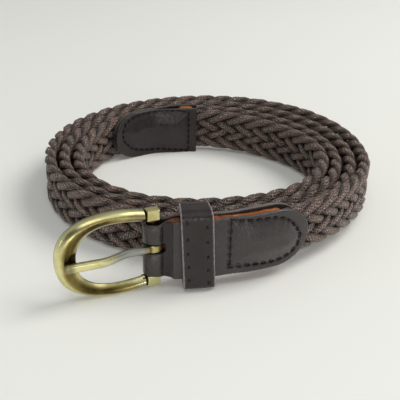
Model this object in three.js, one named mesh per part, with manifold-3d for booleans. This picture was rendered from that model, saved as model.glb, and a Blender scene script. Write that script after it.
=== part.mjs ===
// A narrow braided belt with leather ends and a brass buckle, wound into a loose coil that stands on
// its edge. Millimetres, +Z up, the buckle towards -Y.
import * as THREE from 'three';
import { mergeVertices } from 'three/addons/utils/BufferGeometryUtils.js';
import Module from 'manifold-3d';

const wasm = await Module();
wasm.setup();

// The belt
const BRAID_WIDTH = 17;
const BRAID_THICK = 3.8;
const BRAID_IN_LEATHER = 2.9; // the braid's thickness where the leather holds it
const BRAID_TAPER = 7.6; // length over which it comes to that
const BRAID_IN_TAB = 22; // lengths of braid held by the leather
const BRAID_IN_TIP = 8;
const STRAP_WIDTH = 19;
const LEATHER = 1.2;
const CLEAR = 0.3; // between pieces that touch

// The coil
const COIL_RADIUS = 59.8; // at the start, where the buckle is
const COIL_TURNS = 3.6918; // from the buckle's bar to the end of the tip
const LAYER_GAP = 1.75; // mean space between two layers of braid
const BAR_ANGLE = -102.6; // where the bar stands on the coil, in degrees from +X
const COIL_SHAPE = {
  outer: { oval: 0.003, lean: 0.008, egg: 0.008, skew: -0.018 },
  inner: { oval: 0.027, lean: -0.013, egg: -0.024, skew: 0.026 },
}; // shares of the radius by which the outer and the inner turn are out of round
const COIL_DRIFT = { x: -2.2, y: -2.5 }; // from the outer turn's centre to the inner turn's
const BAR_FLARE = 10.5; // how far the stiff tab stands off the coil at the bar
const FLARE_ARC = 82; // degrees over which it comes back to the coil
const FLARE_POWER = 2.6;
const TAIL_ARC = 170; // degrees of the inner end that the stiff tip draws straight
const TAIL_WAVE = 2.2; // how far that stretch bows out and in again
const TAIL_SKEW = 0.5; // share of that bow at the start of the stretch, against its end
const TAIL_FLARE = 1.5; // how far the tip's end leans out on the next layer
const TAIL_POWER = 4;
const LIFT_RUN = 75; // length of braid that comes down from the raised tab to the floor

// The tab at the buckle
const TAB_LENGTH = 48; // from the bar to its round end
const FOLD_DROP = 0.3; // how much the fold's top edge stops short of the buckle's opening
const FOLD_RUN = 3.5; // length over which the fold widens to the tab
const FOLD_STRAIGHT = 2;
const ROUND_LENGTH = 11; // of the round end
const CORE_START = 3.4;
const CORE_INSET = 0.4; // how far its edges stand back from the leather's
const CORE_RAILS = 14; // how far the core's two rails reach beside the braid
const SLOT_END = 3.6; // how far the prong's slot reaches past the bar
const SLOT_SPARE = 0.35; // above and below the prong
const PINCH = 0.5; // how much nearer the stitching draws each wall, between the core and the braid
const PINCH_RUN = 7;
const FOLD_PINCH = 0.8; // how much the walls are drawn in just past the bar
const FOLD_PINCH_RUN = 2.2;

// The keeper
const KEEPER_PLACE = 7.7; // from the bar to its near edge
const KEEPER_WIDTH = 9;
const KEEPER_LEATHER = 1.5;
const KEEPER_CORNER = 2.6;
const KEEPER_FOOT = 0.3; // between the keeper and the floor
const KEEPER_LEAN = 1; // how much farther from the bar its foot stands than its top

// The tip
const TIP_LENGTH = 36.8;
const TIP_CLOSING = 12; // length over which its two leathers come together past the braid
const TIP_CORE_END = 1.3; // how far its core reaches past the braid

// The buckle
const BUCKLE_HEIGHT = 26.6;
const BUCKLE_LENGTH = 28.7; // from the bar's axis to the far side of the bow
const BUCKLE_SWING = 20.3; // degrees that it is turned out from the strap
const BOW_WIDTH = 6;
const ARM_WIDTH = 3.5;
const BOW_CROWN = 1.9; // the domed front, from the middle plane
const BOW_BACK = { inner: 0.4, outer: 1.5 }; // the flat back, which slopes to a thin inner edge
const BOW_CORNER = 2.4; // how square the bow's round is
const BOW_CENTRE = 0.36; // share of the length at which the arms end and the round starts
const ARM_CURVE = 1.6; // how the arms draw in to the bar
const ARM_INSET = 0.8; // how much less tall the buckle is at the bar than at its widest
const BLOCK_LENGTH = 3.9;
const BLOCK_DEPTH = 3;
const GROOVE = 0.7; // between the block and the bow
const NECK_LENGTH = 2.1; // of the piece that joins them
const BAR_RADIUS = 1.5;
const NOTCH_RADIUS = 1.6;
const NOTCH_RISE = 1.2; // how far above the middle it lies

// The prong
const PRONG_LENGTH = 26.5;
const PRONG_WIDTH = 2.2;
const PRONG_THICK = 1.8;
const PRONG_RISE = 0.6; // how far its eye lies above the middle of the bar
const PRONG_DROP = 0.85; // how much lower its tip lies than its eye
const PRONG_SWELL = 1.3; // how much stouter it is at the tip than at the eye
const PRONG_BEND = { start: 0.24, end: 0.6 }; // shares of its length between which it bends out to the bow
const PRONG_CORNER = 0.55; // share of its half width that stays flat
const EYE_WALL = 1.2;

// How finely the forms are faceted
const STEP = 6; // length of one stretch of the lofted braid
const LEATHER_STEP = 2;
const CORE_STEP = 1.2;
const ROUND_STEPS = 9;
const FOLD_STEPS = 12;
const CIRCLE_STEPS = 20;
const CORNER_STEPS = 4;
const BOW_STEPS = 22;
const ARM_STEPS = 0.4; // share of those steps that the arms take
const PRONG_STEPS = 16;
const COIL_STRIDES = 720; // a turn, to measure the coil's length
const ROUND_BLUNT = 0.5; // of a step, which leaves a round end its last narrow facet

const radians = THREE.MathUtils.degToRad;
const lerp = THREE.MathUtils.lerp;
const smooth = THREE.MathUtils.smoothstep;

// The coil's line, seen from above

const turnStep = BRAID_THICK + LAYER_GAP;

function outOfRound(angle, shape) {
  return shape.oval * Math.cos(2 * angle) + shape.lean * Math.sin(2 * angle)
    + shape.egg * Math.sin(3 * angle) + shape.skew * Math.cos(3 * angle);
}

function coilPoint(degrees) {
  const angle = radians(degrees);
  const turns = (degrees - BAR_ANGLE) / 360;
  const inward = turns / COIL_TURNS;
  const bend = lerp(outOfRound(angle, COIL_SHAPE.outer), outOfRound(angle, COIL_SHAPE.inner), inward);
  const flare = BAR_FLARE * Math.max(0, 1 - turns * 360 / FLARE_ARC) ** FLARE_POWER;
  const tail = Math.max(0, 1 - (COIL_TURNS - turns) * 360 / TAIL_ARC);
  const sway = TAIL_WAVE * (TAIL_SKEW + tail) * Math.sin(2 * Math.PI * tail) + TAIL_FLARE * tail ** TAIL_POWER;
  const radius = (COIL_RADIUS - turnStep * turns) * (1 + bend) + flare + sway;
  const x = COIL_DRIFT.x * inward + radius * Math.cos(angle);
  const y = COIL_DRIFT.y * inward + radius * Math.sin(angle);
  return new THREE.Vector2(x, y);
}

function measureCoil() {
  const line = [{ s: 0, at: coilPoint(BAR_ANGLE) }];
  const strides = Math.ceil(COIL_TURNS * COIL_STRIDES);
  for (let i = 1; i <= strides; i++) {
    const at = coilPoint(BAR_ANGLE + COIL_TURNS * 360 * i / strides);
    line.push({ s: line[i - 1].s + at.distanceTo(line[i - 1].at), at });
  }
  return line;
}

const coil = measureCoil();
const beltLength = coil.at(-1).s;

function pointAlong(s) {
  const found = coil.findIndex((knot) => knot.s > s);
  const k = THREE.MathUtils.clamp(found < 0 ? coil.length - 1 : found, 1, coil.length - 1);
  const share = (s - coil[k - 1].s) / (coil[k].s - coil[k - 1].s);
  return coil[k - 1].at.clone().lerp(coil[k].at, share);
}

// A place on the belt: the point, the way along, and the way out of the coil
function station(s) {
  const reach = 1;
  const along = pointAlong(s + reach).sub(pointAlong(s - reach)).normalize();
  return { at: pointAlong(s), along, out: new THREE.Vector2(along.y, -along.x) };
}

function place(s, out, z) {
  const here = station(s);
  return new THREE.Vector3(here.at.x + here.out.x * out, here.at.y + here.out.y * out, z);
}

// Height of the belt's middle: raised at the buckle, on the floor round the coil, raised a little at the tip
const tabMiddle = BUCKLE_HEIGHT / 2;
const tipStart = beltLength - TIP_LENGTH;

function middle(s) {
  const down = smooth(s, TAB_LENGTH, TAB_LENGTH + LIFT_RUN);
  const coilHeight = lerp(tabMiddle, BRAID_WIDTH / 2, down);
  return lerp(coilHeight, STRAP_WIDTH / 2, smooth(s, tipStart - TIP_LENGTH, tipStart));
}

// Solids

function loft(rings, closed = false) {
  const count = rings[0].length;
  const positions = rings.flat().flatMap((p) => [p.x, p.y, p.z]);
  const index = [];
  const spans = closed ? rings.length : rings.length - 1;
  for (let i = 0; i < spans; i++) {
    const here = i * count;
    const next = ((i + 1) % rings.length) * count;
    for (let j = 0; j < count; j++) {
      const k = (j + 1) % count;
      index.push(here + j, here + k, next + k, here + j, next + k, next + j);
    }
  }
  if (!closed) {
    const last = (rings.length - 1) * count;
    for (let j = 1; j < count - 1; j++) {
      index.push(0, j + 1, j, last, last + j, last + j + 1);
    }
  }
  const geometry = new THREE.BufferGeometry();
  geometry.setAttribute('position', new THREE.Float32BufferAttribute(positions, 3));
  geometry.setIndex(index);
  if (volume(geometry) < 0) geometry.setIndex(index.reverse());
  return geometry;
}

function volume(geometry) {
  const at = geometry.attributes.position;
  const index = geometry.index.array;
  const [a, b, c] = [new THREE.Vector3(), new THREE.Vector3(), new THREE.Vector3()];
  let sum = 0;
  for (let i = 0; i < index.length; i += 3) {
    a.fromBufferAttribute(at, index[i]);
    b.fromBufferAttribute(at, index[i + 1]);
    c.fromBufferAttribute(at, index[i + 2]);
    sum += a.dot(b.cross(c)) / 6;
  }
  return sum;
}

function toSolid(geometry) {
  const bare = geometry.clone();
  bare.deleteAttribute('normal');
  bare.deleteAttribute('uv');
  const merged = mergeVertices(bare, 1e-4);
  const vertProperties = new Float32Array(merged.attributes.position.array);
  const triVerts = new Uint32Array(merged.index.array);
  return new wasm.Manifold(new wasm.Mesh({ numProp: 3, vertProperties, triVerts }));
}

function fromSolid(solid) {
  const mesh = solid.getMesh();
  const geometry = new THREE.BufferGeometry();
  geometry.setAttribute('position', new THREE.BufferAttribute(new Float32Array(mesh.vertProperties), 3));
  geometry.setIndex(new THREE.BufferAttribute(new Uint32Array(mesh.triVerts), 1));
  return geometry;
}

function range(from, to, step) {
  const count = Math.max(1, Math.round((to - from) / step));
  return Array.from({ length: count + 1 }, (_, i) => lerp(from, to, i / count));
}

// The braid

// Its section, in shares of the half thickness and of the half width
const BRAID_SECTION = [
  { n: 0.45, z: 1 },
  { n: 0.9, z: 0.92 },
  { n: 1, z: 0.75 },
  { n: 1, z: -0.75 },
  { n: 0.9, z: -0.92 },
  { n: 0.45, z: -1 },
  { n: -0.45, z: -1 },
  { n: -0.9, z: -0.92 },
  { n: -1, z: -0.75 },
  { n: -1, z: 0.75 },
  { n: -0.9, z: 0.92 },
  { n: -0.45, z: 1 },
];

function braidThickness(s) {
  const fromTab = smooth(s, TAB_LENGTH, TAB_LENGTH + BRAID_TAPER);
  const toTip = 1 - smooth(s, tipStart - BRAID_TAPER, tipStart);
  return lerp(BRAID_IN_LEATHER, BRAID_THICK, Math.min(fromTab, toTip));
}

function braidRing(s, spare = 0) {
  const thick = braidThickness(s) / 2 + spare;
  const wide = BRAID_WIDTH / 2 + spare;
  return BRAID_SECTION.map(({ n, z }) => place(s, n * thick, middle(s) + z * wide));
}

const braidStart = TAB_LENGTH - BRAID_IN_TAB;
const braidEnd = tipStart + BRAID_IN_TIP;
const braid = loft(range(braidStart, braidEnd, STEP).map((s) => braidRing(s)));

// Sheets of leather and their core: rows of upright edges along the belt

// Half the height of a strap with a round end, at a distance from its start
function roundEnd(along, length) {
  const past = Math.max(0, along - (length - ROUND_LENGTH)) / ROUND_LENGTH;
  return STRAP_WIDTH / 2 * Math.sqrt(Math.max(0, 1 - past * past));
}

function endStops(length) {
  const straight = range(0, length - ROUND_LENGTH, LEATHER_STEP);
  const turns = Array.from({ length: ROUND_STEPS }, (_, i) => (i + 1) / (ROUND_STEPS + ROUND_BLUNT));
  const bend = turns.map((share) => length - ROUND_LENGTH * (1 - Math.sin(share * Math.PI / 2)));
  return [...straight, ...bend];
}

function sheet(rows) {
  return loft(rows.map(({ inner, outer, low, high }) => [
    new THREE.Vector3(inner.x, inner.y, low),
    new THREE.Vector3(outer.x, outer.y, low),
    new THREE.Vector3(outer.x, outer.y, high),
    new THREE.Vector3(inner.x, inner.y, high),
  ]));
}

function flatRow(s, inner, outer, low, high) {
  return { inner: place(s, inner, 0), outer: place(s, outer, 0), low, high };
}

const foldInner = BAR_RADIUS + CLEAR;
const foldOuter = foldInner + LEATHER;
const openingHalf = BUCKLE_HEIGHT / 2 - ARM_INSET - ARM_WIDTH;
const foldLow = tabMiddle - openingHalf + CLEAR;
const foldHigh = tabMiddle + openingHalf - CLEAR - FOLD_DROP;

// From the belt's middle to the inner face of the tab's walls: drawn in past the bar, and again
// between the core and the braid
function tabSpread(s) {
  const offFold = Math.abs(s - foldOuter - FOLD_PINCH_RUN / 2) / FOLD_PINCH_RUN;
  const offBraid = Math.abs(s - (braidStart - PINCH_RUN / 2)) / PINCH_RUN;
  const drawn = FOLD_PINCH * (1 - smooth(offFold, 0, 1)) + PINCH * (1 - smooth(offBraid, 0, 1));
  return foldInner - drawn;
}

// The lower and the upper edge of the tab, as narrow as the fold at the bar
function tabEdges(s) {
  const half = roundEnd(s, TAB_LENGTH);
  const widening = smooth(s, FOLD_STRAIGHT, FOLD_STRAIGHT + FOLD_RUN);
  return { low: lerp(foldLow, tabMiddle - half, widening), high: lerp(foldHigh, tabMiddle + half, widening) };
}

// The tab's leather: the back wall, the fold round the bar, and the front wall
function tabLeather() {
  const wall = (side) => endStops(TAB_LENGTH).map((s) => {
    const { low, high } = tabEdges(s);
    return flatRow(s, side * tabSpread(s), side * (tabSpread(s) + LEATHER), low, high);
  });
  const bar = station(0);
  const fold = range(0, 1, 1 / FOLD_STEPS).slice(1, -1).map((share) => {
    const turn = share * Math.PI;
    const way = bar.out.clone().multiplyScalar(-Math.cos(turn)).addScaledVector(bar.along, -Math.sin(turn));
    return {
      inner: bar.at.clone().addScaledVector(way, foldInner),
      outer: bar.at.clone().addScaledVector(way, foldOuter),
      low: foldLow,
      high: foldHigh,
    };
  });
  return sheet([...wall(-1).reverse(), ...fold, ...wall(1)]);
}

// Cuts the slot that the prong swings in, through the fold and a little of both walls
function cutSlot(leather) {
  const size = { along: SLOT_END + foldOuter + CLEAR, out: 2 * (foldOuter + CLEAR), tall: PRONG_WIDTH + 2 * SLOT_SPARE };
  const box = new THREE.BoxGeometry(size.along, size.out, size.tall);
  box.translate(SLOT_END - size.along / 2, 0, 0);
  const bar = station(0);
  box.rotateZ(Math.atan2(bar.along.y, bar.along.x));
  box.translate(bar.at.x, bar.at.y, tabMiddle + PRONG_RISE);
  return fromSolid(toSolid(leather).subtract(toSolid(box)));
}

// A tan core between two walls, with rails above and below the braid
function core(from, to, spread, edges, pocket) {
  const solid = sheet(range(from, to, CORE_STEP).map((s) => {
    const reach = spread(s) - CLEAR;
    const { low, high } = edges(s);
    return flatRow(s, -reach, reach, low + CORE_INSET, high - CORE_INSET);
  }));
  return fromSolid(toSolid(solid).subtract(toSolid(pocket)));
}

const tabPocket = loft(range(braidStart - CLEAR, TAB_LENGTH, STEP / 2).map((s) => braidRing(s, CLEAR)));
const tabCore = core(CORE_START, braidStart + CORE_RAILS, tabSpread, tabEdges, tabPocket);

// The tip: two leathers that come together at a round end, and their core
function tipEdges(s) {
  const half = roundEnd(s - tipStart, TIP_LENGTH);
  return { low: middle(s) - half, high: middle(s) + half };
}

function tipSpread(s) {
  return lerp(foldInner, CLEAR / 2, smooth(s, braidEnd, braidEnd + TIP_CLOSING));
}

function tipLeather(side) {
  const stops = endStops(TIP_LENGTH).map((along) => tipStart + along);
  return sheet(stops.map((s) => {
    const inner = side * tipSpread(s);
    const { low, high } = tipEdges(s);
    return flatRow(s, inner, inner + side * LEATHER, low, high);
  }));
}

const tipPocket = loft(range(tipStart - STEP, braidEnd + CLEAR, STEP / 2).map((s) => braidRing(s, CLEAR)));
const tipCore = core(tipStart, braidEnd + TIP_CORE_END, tipSpread, tipEdges, tipPocket);

// The keeper: a band round the tab
function keeperBand() {
  const wide = foldOuter + CLEAR;
  const tall = BUCKLE_HEIGHT / 2 - KEEPER_FOOT - KEEPER_LEATHER;
  const rings = [];
  for (let quarter = 0; quarter < 4; quarter++) {
    for (let i = 0; i <= CORNER_STEPS; i++) {
      const turn = (quarter + i / CORNER_STEPS) * Math.PI / 2;
      const outer = Math.min(KEEPER_CORNER, wide);
      const inner = Math.max(outer - KEEPER_LEATHER, CLEAR);
      const signN = quarter === 0 || quarter === 3 ? 1 : -1;
      const signZ = quarter < 2 ? 1 : -1;
      const edge = (radius, grow) => ({
        n: signN * (wide + grow - radius) + radius * Math.cos(turn),
        z: signZ * (tall + grow - radius) + radius * Math.sin(turn),
      });
      rings.push({ inner: edge(inner, 0), outer: edge(outer, KEEPER_LEATHER) });
    }
  }
  const corner = (end, { n, z }) => place(end + KEEPER_LEAN * (tall - z) / (2 * tall), n, tabMiddle + z);
  const ends = [KEEPER_PLACE, KEEPER_PLACE + KEEPER_WIDTH];
  return loft(rings.map(({ inner, outer }) => [
    corner(ends[0], inner),
    corner(ends[0], outer),
    corner(ends[1], outer),
    corner(ends[1], inner),
  ]), true);
}

// The buckle in its own frame: +X away from the strap, +Y out of the coil, +Z up, the bar on the Z axis

// One side of the bow's outline: half heights from the bar to the far side
function bowOutline(reach, height, inset) {
  const centre = BUCKLE_LENGTH * BOW_CENTRE;
  const blockEnd = BLOCK_LENGTH / 2;
  return (share) => {
    if (share < ARM_STEPS) {
      const along = share / ARM_STEPS;
      return { a: lerp(blockEnd + GROOVE, centre, along), z: height - inset * (1 - along) ** ARM_CURVE };
    }
    const turn = (share - ARM_STEPS) / (1 - ARM_STEPS) * Math.PI / 2;
    return {
      a: centre + (reach - centre) * Math.sin(turn) ** (2 / BOW_CORNER),
      z: height * Math.cos(turn) ** (2 / BOW_CORNER),
    };
  };
}

// The domed front: place across the bow from its inner side, and share of the crown's height
const BOW_DOME = [
  { across: 0, rise: 0.2 },
  { across: 0.16, rise: 0.72 },
  { across: 0.38, rise: 1 },
  { across: 0.62, rise: 1 },
  { across: 0.84, rise: 0.72 },
  { across: 1, rise: 0.2 },
];

function bowRing(inner, outer, side) {
  const at = (across, depth) => new THREE.Vector3(
    lerp(inner.a, outer.a, across),
    depth,
    side * lerp(inner.z, outer.z, across),
  );
  return [
    at(0, -BOW_BACK.inner),
    ...BOW_DOME.map(({ across, rise }) => at(across, rise * BOW_CROWN)),
    at(1, -BOW_BACK.outer),
  ];
}

const halfHeight = BUCKLE_HEIGHT / 2;
const outerBow = bowOutline(BUCKLE_LENGTH, halfHeight, ARM_INSET);
const innerBow = bowOutline(BUCKLE_LENGTH - BOW_WIDTH, halfHeight - ARM_WIDTH, ARM_INSET);

function buckleBow() {
  const up = Array.from({ length: BOW_STEPS + 1 }, (_, i) => i / BOW_STEPS);
  const upper = up.map((share) => bowRing(innerBow(share), outerBow(share), 1));
  const lower = up.slice(0, -1).reverse().map((share) => bowRing(innerBow(share), outerBow(share), -1));
  return toSolid(loft([...upper, ...lower]));
}

function endBlocks() {
  const outer = halfHeight - ARM_INSET;
  const inner = outer - ARM_WIDTH;
  const solids = [];
  for (const side of [1, -1]) {
    const block = new THREE.BoxGeometry(BLOCK_LENGTH, BLOCK_DEPTH, ARM_WIDTH);
    block.translate(0, 0, side * (outer + inner) / 2);
    const neck = new THREE.BoxGeometry(NECK_LENGTH, BLOCK_DEPTH - GROOVE, ARM_WIDTH - GROOVE);
    neck.translate(BLOCK_LENGTH / 2 + GROOVE / 2, 0, side * (outer + inner) / 2);
    solids.push(toSolid(block), toSolid(neck));
  }
  const bar = new THREE.CylinderGeometry(BAR_RADIUS, BAR_RADIUS, 2 * inner + ARM_WIDTH, CIRCLE_STEPS);
  bar.rotateX(Math.PI / 2);
  solids.push(toSolid(bar));
  return solids;
}

function notch() {
  const oversize = 4 * BOW_CROWN;
  const cut = new THREE.CylinderGeometry(NOTCH_RADIUS, NOTCH_RADIUS, oversize, CIRCLE_STEPS);
  cut.translate(BUCKLE_LENGTH - BOW_WIDTH + NOTCH_RADIUS / 2, 0, NOTCH_RISE);
  const front = new THREE.BoxGeometry(oversize, 2 * BOW_CROWN, oversize);
  front.translate(BUCKLE_LENGTH - BOW_WIDTH, BOW_CROWN, 0);
  return toSolid(cut).intersect(toSolid(front));
}

function buckleFrame() {
  const whole = endBlocks().reduce((sum, solid) => sum.add(solid), buckleBow());
  return fromSolid(whole.subtract(notch()));
}

// The prong: an eye round the bar and a rod that ends on the bow
const PRONG_SECTION = [
  { y: 1, z: PRONG_CORNER },
  { y: PRONG_CORNER, z: 1 },
  { y: -PRONG_CORNER, z: 1 },
  { y: -1, z: PRONG_CORNER },
  { y: -1, z: -PRONG_CORNER },
  { y: -PRONG_CORNER, z: -1 },
  { y: PRONG_CORNER, z: -1 },
  { y: 1, z: -PRONG_CORNER },
];

function prongPin() {
  const eyeInner = BAR_RADIUS + CLEAR;
  const eyeOuter = eyeInner + EYE_WALL;
  const profile = [
    [eyeInner, -PRONG_WIDTH / 2], [eyeOuter, -PRONG_WIDTH / 2], [eyeOuter, PRONG_WIDTH / 2],
    [eyeInner, PRONG_WIDTH / 2], [eyeInner, -PRONG_WIDTH / 2],
  ];
  const eye = new THREE.LatheGeometry(profile.map(([r, h]) => new THREE.Vector2(r, h)), CIRCLE_STEPS);
  eye.rotateX(Math.PI / 2);
  eye.translate(0, 0, PRONG_RISE);
  const rootDepth = eyeOuter - PRONG_THICK / 2;
  const tipDepth = BOW_CROWN + CLEAR + PRONG_SWELL * PRONG_THICK / 2;
  const rodRing = (share) => {
    const along = lerp(eyeInner / 2, PRONG_LENGTH, share);
    const bent = smooth(share, PRONG_BEND.start, PRONG_BEND.end);
    const depth = lerp(rootDepth, tipDepth, bent);
    const middleHeight = PRONG_RISE - PRONG_DROP * bent;
    const swell = lerp(1, PRONG_SWELL, share);
    return PRONG_SECTION.map(({ y, z }) => new THREE.Vector3(
      along,
      depth + y * swell * PRONG_THICK / 2,
      middleHeight + z * swell * PRONG_WIDTH / 2,
    ));
  };
  const rod = loft(range(0, 1, 1 / PRONG_STEPS).map(rodRing));
  const bore = new THREE.CylinderGeometry(eyeInner, eyeInner, 4 * PRONG_WIDTH, CIRCLE_STEPS);
  bore.rotateX(Math.PI / 2);
  return fromSolid(toSolid(eye).add(toSolid(rod)).subtract(toSolid(bore)));
}

// Materials

function finish(color, roughness, metalness = 0) {
  return new THREE.MeshStandardMaterial({ color, roughness, metalness });
}

const cord = finish(0x3a2e2a, 0.8);
const leather = finish(0x2c2624, 0.5);
const tan = finish(0x9a4a1c, 0.8);
const brass = finish(0xa89a4e, 0.35, 1);

const belt = new THREE.Group();

function add(name, geometry, material, parent = belt) {
  const mesh = new THREE.Mesh(geometry, material);
  mesh.name = name;
  parent.add(mesh);
}

add('braid_band', braid, cord);
add('tab_leather', cutSlot(tabLeather()), leather);
add('tab_core', tabCore, tan);
add('keeper', keeperBand(), leather);
add('tip_inner_leather', tipLeather(-1), leather);
add('tip_outer_leather', tipLeather(1), leather);
add('tip_core', tipCore, tan);

const buckle = new THREE.Group();
const bar = station(0);
buckle.position.set(bar.at.x, bar.at.y, tabMiddle);
buckle.rotation.z = Math.atan2(-bar.along.y, -bar.along.x) + radians(BUCKLE_SWING);
add('buckle_frame', buckleFrame(), brass, buckle);
add('buckle_prong', prongPin(), brass, buckle);
belt.add(buckle);

// The origin lies on the floor, under the middle of the whole belt
const box = new THREE.Box3().setFromObject(belt, true);
belt.position.set(-(box.min.x + box.max.x) / 2, -(box.min.y + box.max.y) / 2, -box.min.z);

const part = new THREE.Group();
part.add(belt);

export default part;
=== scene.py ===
"""The looks of a braided belt that stands coiled on its edge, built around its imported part."""
import math

import bmesh
import bpy
import numpy as np
from mathutils import Matrix, Vector


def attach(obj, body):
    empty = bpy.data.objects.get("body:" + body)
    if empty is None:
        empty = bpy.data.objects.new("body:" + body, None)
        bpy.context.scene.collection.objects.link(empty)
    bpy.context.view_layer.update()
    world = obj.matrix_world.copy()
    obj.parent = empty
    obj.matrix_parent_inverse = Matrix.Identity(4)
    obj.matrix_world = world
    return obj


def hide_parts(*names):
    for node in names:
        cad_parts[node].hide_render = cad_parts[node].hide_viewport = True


MM = 0.001

# The belt, in millimetres, as in the part's source
BRAID_WIDTH = 17.0
BRAID_THICK = 3.8
BRAID_IN_LEATHER = 2.9
BRAID_TAPER = 7.6
BRAID_IN_TAB = 22.0
BRAID_IN_TIP = 8.0
STRAP_WIDTH = 19.0
LEATHER = 1.2
CLEAR = 0.3
COIL_RADIUS = 59.8
COIL_TURNS = 3.6918
LAYER_GAP = 1.75
BAR_ANGLE = -102.6
OUTER_SHAPE = {"oval": 0.003, "lean": 0.008, "egg": 0.008, "skew": -0.018}
INNER_SHAPE = {"oval": 0.027, "lean": -0.013, "egg": -0.024, "skew": 0.026}
COIL_DRIFT = (-2.2, -2.5)
BAR_FLARE = 10.5
FLARE_ARC = 82.0
FLARE_POWER = 2.6
TAIL_ARC = 170.0
TAIL_WAVE = 2.2
TAIL_SKEW = 0.5
TAIL_FLARE = 1.5
TAIL_POWER = 4
LIFT_RUN = 75.0
TAB_LENGTH = 48.0
TIP_LENGTH = 36.8
BUCKLE_HEIGHT = 26.6
BUCKLE_LENGTH = 28.7
BUCKLE_SWING = 20.3
ARM_INSET = 0.8
ARM_WIDTH = 3.5
ARM_CURVE = 1.6
ARM_STEPS = 0.4
BOW_WIDTH = 6.0
BOW_CROWN = 1.9
BOW_CORNER = 2.4
BOW_CENTRE = 0.36
BLOCK_LENGTH = 3.9
BLOCK_DEPTH = 3.0
GROOVE = 0.7
NECK_LENGTH = 2.1
NOTCH_RADIUS = 1.6
PRONG_LENGTH = 26.5
PRONG_WIDTH = 2.2
PRONG_THICK = 1.8
PRONG_DROP = 0.85
PRONG_SWELL = 1.3
PRONG_BEND = (0.24, 0.6)
EYE_WALL = 1.2
NOTCH_REACH = 23.5  # from the bar to the middle of the notch for the prong
NOTCH_RISE = 1.2
BAR_RADIUS = 1.5
PRONG_RISE = 0.6
KEEPER_PLACE = 7.7
KEEPER_WIDTH = 9.0
KEEPER_LEAN = 1.0
KEEPER_TALL = 11.5
TIP_CLOSING = 12.0
ORIGIN = (-0.3116, 12.3031)  # from the coil's own centre to the part's origin

# The cords of the braid
CORDS = 9
PITCH = 70.0  # length in which a cord goes down and up once
CORD_WIDE = 1.48  # half the width and half the thickness of a cord
CORD_THIN = 1.02
CORD_STEP = 0.85
CORD_SIDES = 14
CORD_CORNER = 2.5
EDGE_ROUND = 0.078  # share of the pitch over which a cord turns at the edge
EDGE_ROLL = 0.042  # and over which it rolls round that edge
SWAP = 0.02  # share of the pitch over which a cord passes from one face to the other
CROSSINGS = 18
# After which crossing a cord changes faces, and to which: 1 outer, -1 inner
FACE_CHANGES = (
    (0, -1), (2.5, 1), (4.5, -1), (6.5, 1), (9, -1),
    (11.5, 1), (13.5, -1), (15.5, 1), (18, -1),
)


# Measures along the belt

def smooth(x, low, high):
    t = np.clip((x - low) / (high - low), 0, 1)
    return t * t * (3 - 2 * t)


def out_of_round(angle, shape):
    return (shape["oval"] * np.cos(2 * angle) + shape["lean"] * np.sin(2 * angle)
            + shape["egg"] * np.sin(3 * angle) + shape["skew"] * np.cos(3 * angle))


def coil_line():
    """Lengths along the belt and the points of its middle line, from a little before the bar."""
    turns = np.linspace(0, COIL_TURNS, 5400)
    angle = np.radians(BAR_ANGLE + 360 * turns)
    inward = turns / COIL_TURNS
    bend = (1 - inward) * out_of_round(angle, OUTER_SHAPE) + inward * out_of_round(angle, INNER_SHAPE)
    flare = BAR_FLARE * np.maximum(0, 1 - turns * 360 / FLARE_ARC) ** FLARE_POWER
    tail = np.maximum(0, 1 - (COIL_TURNS - turns) * 360 / TAIL_ARC)
    sway = TAIL_WAVE * (TAIL_SKEW + tail) * np.sin(2 * np.pi * tail) + TAIL_FLARE * tail ** TAIL_POWER
    radius = (COIL_RADIUS - (BRAID_THICK + LAYER_GAP) * turns) * (1 + bend) + flare + sway
    x = COIL_DRIFT[0] * inward + radius * np.cos(angle) + ORIGIN[0]
    y = COIL_DRIFT[1] * inward + radius * np.sin(angle) + ORIGIN[1]
    line = np.stack([x, y], 1)
    lengths = np.concatenate([[0], np.cumsum(np.linalg.norm(np.diff(line, axis=0), axis=1))])
    beyond = 12.0
    first = line[0] + (line[0] - line[4]) / np.linalg.norm(line[0] - line[4]) * beyond
    last = line[-1] + (line[-1] - line[-5]) / np.linalg.norm(line[-1] - line[-5]) * beyond
    line = np.concatenate([[first], line, [last]])
    lengths = np.concatenate([[-beyond], lengths, [lengths[-1] + beyond]])
    return lengths, line


LENGTHS, LINE = coil_line()
BELT_LENGTH = LENGTHS[-2]
TAB_MIDDLE = BUCKLE_HEIGHT / 2
TIP_START = BELT_LENGTH - TIP_LENGTH
BRAID_START = TAB_LENGTH - BRAID_IN_TAB
BRAID_END = TIP_START + BRAID_IN_TIP


def point_along(s):
    return np.stack([np.interp(s, LENGTHS, LINE[:, 0]), np.interp(s, LENGTHS, LINE[:, 1])], -1)


def station(s):
    """For lengths s: the points, the ways along and the ways out of the coil, all level."""
    s = np.asarray(s, float)
    along = point_along(s + 1) - point_along(s - 1)
    along /= np.linalg.norm(along, axis=-1, keepdims=True)
    out = np.stack([along[..., 1], -along[..., 0]], -1)
    return point_along(s), along, out


def place(s, out, z):
    """Points in space, from lengths along the belt, distances out of its middle, and heights."""
    at, _, way = station(s)
    flat = at + way * np.asarray(out, float)[..., None]
    return np.concatenate([flat, np.broadcast_to(np.asarray(z, float), flat.shape[:-1])[..., None]], -1)


def belt_places(points, low, high):
    """The reverse of place, for points near the stretch of the belt from low to high."""
    s = np.arange(low, high, 0.1)
    at, along, out = station(s)
    nearest = np.empty(len(points), int)
    for start in range(0, len(points), 4000):
        part = points[start:start + 4000, None, :2]
        nearest[start:start + 4000] = ((part - at[None]) ** 2).sum(-1).argmin(1)
    gap = points[:, :2] - at[nearest]
    return s[nearest] + (gap * along[nearest]).sum(1), (gap * out[nearest]).sum(1), points[:, 2]


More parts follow.
